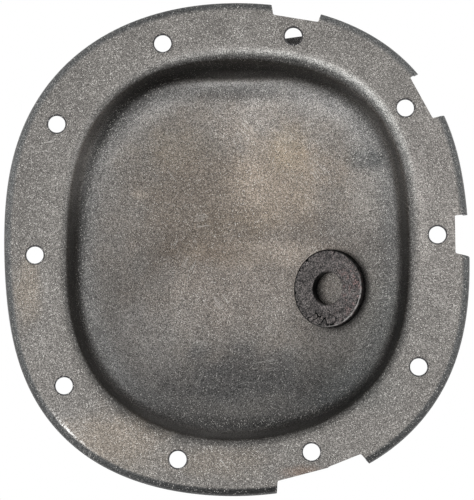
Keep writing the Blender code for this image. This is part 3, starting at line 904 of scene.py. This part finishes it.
def grain_effect():
    """Fine metal grain: cells of random value with finer noise over them, and rare bright cells."""
    tree, given, made = new_effect(
        "metal_grain",
        (("Vector", "NodeSocketVector"), ("Scale", "NodeSocketFloat")),
        (("Shade", "NodeSocketFloat"), ("Glint", "NodeSocketFloat"), ("Height", "NodeSocketFloat")),
    )
    cells = tree.nodes.new("ShaderNodeTexVoronoi")
    feed(tree, cells.inputs["Vector"], given["Vector"])
    feed(tree, cells.inputs["Scale"], given["Scale"])
    apart = tree.nodes.new("ShaderNodeSeparateColor")
    feed(tree, apart.inputs["Color"], cells.outputs["Color"])
    fine = noise(tree, given["Vector"], sums(tree, "MULTIPLY", given["Scale"], 0.8), 3.0)
    broad = noise(tree, given["Vector"], sums(tree, "MULTIPLY", given["Scale"], 0.25), 2.0)
    rough = sums(tree, "ADD", fine, sums(tree, "MULTIPLY", broad, 0.1))
    rough = sums(tree, "SUBTRACT", rough, 0.21)
    cell_shade = sums(tree, "MULTIPLY", sums(tree, "POWER", apart.outputs["Red"], 2.0), 0.6)
    feed(tree, made["Shade"], sums(tree, "ADD", cell_shade, rough))
    feed(tree, made["Glint"], change(tree, apart.outputs["Green"], 0.960, 0.975))
    feed(tree, made["Height"], fine)
    return tree


def scratch_effect():
    """Thin straight scratches: noise drawn out along one direction, only its rare peaks kept."""
    tree, given, made = new_effect(
        "thin_scratches",
        (("Vector", "NodeSocketVector"), ("Turn", "NodeSocketFloat"), ("Rarity", "NodeSocketFloat")),
        (("Mask", "NodeSocketFloat"),),
    )
    turned = tree.nodes.new("ShaderNodeVectorRotate")
    turned.rotation_type = "Y_AXIS"
    feed(tree, turned.inputs["Vector"], given["Vector"])
    feed(tree, turned.inputs["Angle"], given["Turn"])
    drawn_out = vectors(tree, "MULTIPLY", turned.outputs["Vector"], (60.0, 30.0, 2200.0))
    lines = noise(tree, drawn_out, 1.0, 0.0)
    places = noise(tree, turned.outputs["Vector"], 38.0, 1.0)
    kept = change(tree, places, sums(tree, "SUBTRACT", given["Rarity"], 0.02), given["Rarity"])
    feed(tree, made["Mask"], sums(tree, "MULTIPLY", change(tree, lines, 0.70, 0.76), kept))
    return tree


def patch_effect():
    """A patch with a ragged edge: one inside an ellipsoid round a place, fading out at its reach."""
    tree, given, made = new_effect(
        "ragged_patch",
        (
            ("Vector", "NodeSocketVector"),
            ("Place", "NodeSocketVector"),
            ("Reach", "NodeSocketVector"),
            ("Ragged", "NodeSocketFloat"),
        ),
        (("Mask", "NodeSocketFloat"),),
    )
    wander = vectors(tree, "SUBTRACT", noise(tree, given["Vector"], 70.0, 4.0, "Color"), (0.5, 0.5, 0.5))
    pushed = tree.nodes.new("ShaderNodeVectorMath")
    pushed.operation = "SCALE"
    feed(tree, pushed.inputs[0], wander)
    feed(tree, pushed.inputs["Scale"], given["Ragged"])
    away = vectors(tree, "SUBTRACT", given["Vector"], given["Place"])
    away = vectors(tree, "ADD", vectors(tree, "DIVIDE", away, given["Reach"]), pushed.outputs["Vector"])
    feed(tree, made["Mask"], change(tree, vectors(tree, "LENGTH", away), 1.25, 0.35))
    return tree


def hole_line(tree, where):
    """One at the edge of every bolt hole, fading to zero a little way out on the flange."""
    nearest = 1.0
    for bolt in BOLTS:
        away = vectors(tree, "SUBTRACT", where, tuple(bolt_place(bolt)))
        away = vectors(tree, "LENGTH", vectors(tree, "MULTIPLY", away, (1.0, 0.0, 1.0)))
        nearest = sums(tree, "MINIMUM", away, nearest)
    return change(tree, nearest, BOLT_HOLE / 2 + HOLE_LINE_NONE, BOLT_HOLE / 2 + HOLE_LINE_FULL)


def cover_stains_and_painted_light(tree, where, effects, color):
    """The cover's own marks over bare steel: stains and rust in patches together with patches of painted
    shade and painted light, the painted highlight on the bend, the painted shade on the wall, painted shade
    and light along the bend and the wall, the slate lip with its painted shade and light, the dark lines
    round the bolt holes and the painted glint on the nick in the lip's bend."""
    # Patches of stain and rust, and patches of painted shade and painted light
    for place, reach, ragged, tone, strength in STAINS_AND_PAINTED_SHADING:
        mask = use(tree, effects["patch"], Vector=where, Place=place, Reach=reach, Ragged=ragged)["Mask"]
        mask = sums(tree, "MULTIPLY", mask, zone(tree, "inner"))
        color = mixed(tree, sums(tree, "MULTIPLY", mask, strength), color, (*tone, 1.0), "MULTIPLY")
    uneven = change(tree, noise(tree, where, 90.0, 4.0), 0.25, 0.6, 0.5, 1.0)
    # The painted highlight on the flange's bend
    color = mixed(tree, sums(tree, "MULTIPLY", zone(tree, "bend"), uneven), color, BEND_HIGHLIGHT_TONE)
    # Painted shade on the dome's steep wall
    color = mixed(tree, zone(tree, "wall"), color, WALL_SHADE_TONE, "MULTIPLY")
    # Painted shade and painted light on the bend and the wall, with the painted highlight along the opening
    color = mixed(tree, 1.0, color, sums(tree, "SUBTRACT", 1.0, zone(tree, "painted_shading")), "MULTIPLY")
    slate = mixed(tree, 1.0, zone(tree, "slate"), SLATE_TINT, "MULTIPLY")
    color = mixed(tree, zone(tree, "lip"), color, slate)
    color = mixed(tree, sums(tree, "MULTIPLY", hole_line(tree, where), 0.9), color, HOLE_LINE_TONE)
    # The nick in the lip's bend, painted bright as a glint
    chipped = change(tree, noise(tree, where, 700.0, 2.0), 0.42, 0.52)
    return mixed(tree, sums(tree, "MULTIPLY", zone(tree, "glint"), chipped), color, NICK_GLINT_TONE)


def steel_material(name, effects, stains_and_painted_light):
    """Pressed sheet steel with grain and scratches. For the cover, it has the cover's own marks, which are
    stains and rust together with painted shade and painted light, and a lip that is matt and hardly
    metallic, and otherwise it is the tab's darker steel."""
    made, tree, shader = node_material(name)
    where = tree.nodes.new("ShaderNodeTexCoord").outputs["Object"]
    grain = use(tree, effects["grain"], Vector=where, Scale=STEEL_GRAINS)
    color = mixed(tree, noise(tree, where, 26.0, 5.0), STEEL_DARK, STEEL_PALE)
    if stains_and_painted_light:
        color = cover_stains_and_painted_light(tree, where, effects, color)
        coated = zone(tree, "lip")
    else:
        color = mixed(tree, 1.0, color, TAB_TONE, "MULTIPLY")
        coated = 0.0
    shade = change(tree, grain["Shade"], 0.0, 1.0, *STEEL_GRAIN_SHADES, "LINEAR")
    color = mixed(tree, 1.0, color, shade, "MULTIPLY")
    color = mixed(tree, sums(tree, "MULTIPLY", grain["Glint"], GLINT_SHARE), color, GLINT_TONE)
    marks = 0.0
    for turn, rarity in SCRATCHES:
        mask = use(tree, effects["scratch"], Vector=where, Turn=radians(turn), Rarity=rarity)["Mask"]
        marks = sums(tree, "MAXIMUM", mask, marks)
    color = mixed(tree, sums(tree, "MULTIPLY", marks, SCRATCH_SHARE), color, SCRATCH_TONE)
    feed(tree, shader.inputs["Base Color"], color)
    metallic = sums(tree, "SUBTRACT", 1.0, sums(tree, "MULTIPLY", coated, SLATE_COVER))
    feed(tree, shader.inputs["Metallic"], metallic)
    feed(tree, shader.inputs["Specular IOR Level"], change(tree, coated, 0.0, 1.0, 0.5, 0.08))
    dulled = change(tree, noise(tree, where, 60.0, 5.0), 0.3, 0.7, 0.40, 0.50)
    rough = sums(tree, "SUBTRACT", dulled, sums(tree, "MULTIPLY", marks, 0.1))
    feed(tree, shader.inputs["Roughness"], rough)
    bump = tree.nodes.new("ShaderNodeBump")
    feed(tree, bump.inputs["Strength"], 0.12)
    feed(tree, bump.inputs["Distance"], 0.0001)
    dents = sums(tree, "SUBTRACT", grain["Height"], sums(tree, "MULTIPLY", marks, 0.6))
    feed(tree, bump.inputs["Height"], dents)
    feed(tree, shader.inputs["Normal"], bump.outputs["Normal"])
    return made


def ferrite_material(name, effects):
    """Sintered ferrite: dark brownish grey, mottled and scuffed, with dark cracks at the bottom, dark pits
    near its rim, painted shade on its sides and along its edges, and a light edge towards the light."""
    made, tree, shader = node_material(name)
    where = tree.nodes.new("ShaderNodeTexCoord").outputs["Object"]
    grain = use(tree, effects["grain"], Vector=where, Scale=FERRITE_GRAINS)
    mottled = change(tree, noise(tree, where, 260.0, 6.0), 0.35, 0.65)
    color = mixed(tree, mottled, FERRITE_DARK, FERRITE_PALE)
    rusty = change(tree, noise(tree, where, 420.0, 4.0), 0.50, 0.62, 0.0, 0.5)
    color = mixed(tree, sums(tree, "MULTIPLY", rusty, zone(tree, "edge")), color, FERRITE_RUSTY)
    scuffed = change(tree, noise(tree, where, 95.0, 6.0), 0.56, 0.74, 0.0, 0.45)
    color = mixed(tree, scuffed, color, FERRITE_SCUFFED)
    shade = change(tree, grain["Shade"], 0.0, 1.0, *FERRITE_GRAIN_SHADES, "LINEAR")
    color = mixed(tree, 1.0, color, shade, "MULTIPLY")
    wavering = noise(tree, where, 165.0, 1.0)
    crack = change(tree, sums(tree, "ABSOLUTE", sums(tree, "SUBTRACT", wavering, 0.50)), 0.030, 0.016)
    crack = sums(tree, "MULTIPLY", sums(tree, "MULTIPLY", crack, 1.6), zone(tree, "chips"), True)
    pits = change(tree, noise(tree, where, 330.0, 3.0), 0.56, 0.60)
    pits = sums(tree, "MULTIPLY", pits, zone(tree, "rim"))
    # Cracks and pits, and painted shade on the sides and edges, all near black
    dark = sums(tree, "MAXIMUM", sums(tree, "MAXIMUM", crack, pits), zone(tree, "side"))
    color = mixed(tree, dark, color, FERRITE_CRACK_AND_SHADE)
    uneven = change(tree, noise(tree, where, 380.0, 2.0), 0.35, 0.5, 0.3, 1.0)
    color = mixed(tree, sums(tree, "MULTIPLY", zone(tree, "lit"), uneven), color, FERRITE_LIT)
    feed(tree, shader.inputs["Base Color"], color)
    feed(tree, shader.inputs["Metallic"], 0.2)
    feed(tree, shader.inputs["Specular IOR Level"], change(tree, dark, 0.0, 1.0, 0.5, 0.0))
    dulled = change(tree, noise(tree, where, 120.0, 3.0), 0.3, 0.7, 0.45, 0.65)
    feed(tree, shader.inputs["Roughness"], dulled)
    bump = tree.nodes.new("ShaderNodeBump")
    feed(tree, bump.inputs["Strength"], 0.5)
    feed(tree, bump.inputs["Distance"], 0.00015)
    depth = sums(tree, "SUBTRACT", grain["Height"], sums(tree, "MULTIPLY", dark, 1.5))
    feed(tree, bump.inputs["Height"], depth)
    feed(tree, shader.inputs["Normal"], bump.outputs["Normal"])
    return made


def place_camera():
    elevation = radians(CAMERA_ELEVATION)
    away = Vector((0.0, -cos(elevation), sin(elevation)))
    lens = bpy.data.cameras.new("camera")
    lens.sensor_width = SENSOR
    lens.lens = SENSOR * CAMERA_FAR / VIEW_TALL
    lens.clip_end = 20.0
    camera = add_piece("camera", lens)
    camera.location = AIM + away * CAMERA_FAR
    camera.rotation_euler = (-away).to_track_quat("-Z", "Y").to_euler()
    bpy.context.scene.camera = camera


def soft_light(name, azimuth, elevation, far, size, power):
    """A round soft lamp that looks at the origin from the direction azimuth, elevation in degrees."""
    turn = radians(azimuth)
    rise = radians(elevation)
    away = Vector((sin(turn) * cos(rise), -cos(turn) * cos(rise), sin(rise)))
    lamp = bpy.data.lights.new(name, "AREA")
    lamp.shape = "DISK"
    lamp.size = size
    lamp.energy = power
    holder = add_piece(name, lamp)
    holder.location = away * far
    holder.rotation_euler = (-away).to_track_quat("-Z", "Y").to_euler()
    holder.visible_camera = False


def light_world():
    """A white room all round, which is also the background."""
    world = bpy.data.worlds.new("white_room")
    bpy.context.scene.world = world
    world.use_nodes = True
    background = world.node_tree.nodes["Background"]
    background.inputs["Color"].default_value = (1.0, 1.0, 1.0, 1.0)
    background.inputs["Strength"].default_value = 1.0


def build_floor():
    sides = ((-1, -1), (1, -1), (1, 1), (-1, 1))
    corners = [(x * FLOOR_HALF, y * FLOOR_HALF, FLOOR_Z) for x, y in sides]
    mesh = bpy.data.meshes.new("floor")
    mesh.from_pydata(corners, [], [(0, 1, 2, 3)])
    floor = add_piece("floor", mesh)
    made, _, shader = node_material("pale_floor")
    shader.inputs["Base Color"].default_value = (0.8, 0.8, 0.8, 1.0)
    shader.inputs["Roughness"].default_value = 0.9
    mesh.materials.append(made)


def main():
    cover = build_cover()
    magnet = build_magnet()
    effects = {"grain": grain_effect(), "scratch": scratch_effect(), "patch": patch_effect()}
    cover.data.materials.append(steel_material("pressed_steel_look", effects, True))
    magnet.data.materials.append(ferrite_material("ferrite_look", effects))
    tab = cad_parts["brake_line_tab"]
    tab.data.materials.clear()
    tab.data.materials.append(steel_material("tab_steel_look", effects, False))
    for piece, node, slot in (
        (cover, "cover_shell", "pressed_steel"),
        (magnet, "ring_magnet", "dark_ferrite"),
    ):
        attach(piece, "root")
        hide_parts(node)
    build_floor()
    light_world()
    for number, (azimuth, elevation, watts) in enumerate(LAMPS):
        soft_light(f"lamp_{number}", azimuth, elevation, LAMP_FAR, LAMP_SIZE, watts)
    place_camera()
    bpy.context.scene.view_settings.view_transform = "Standard"


main()
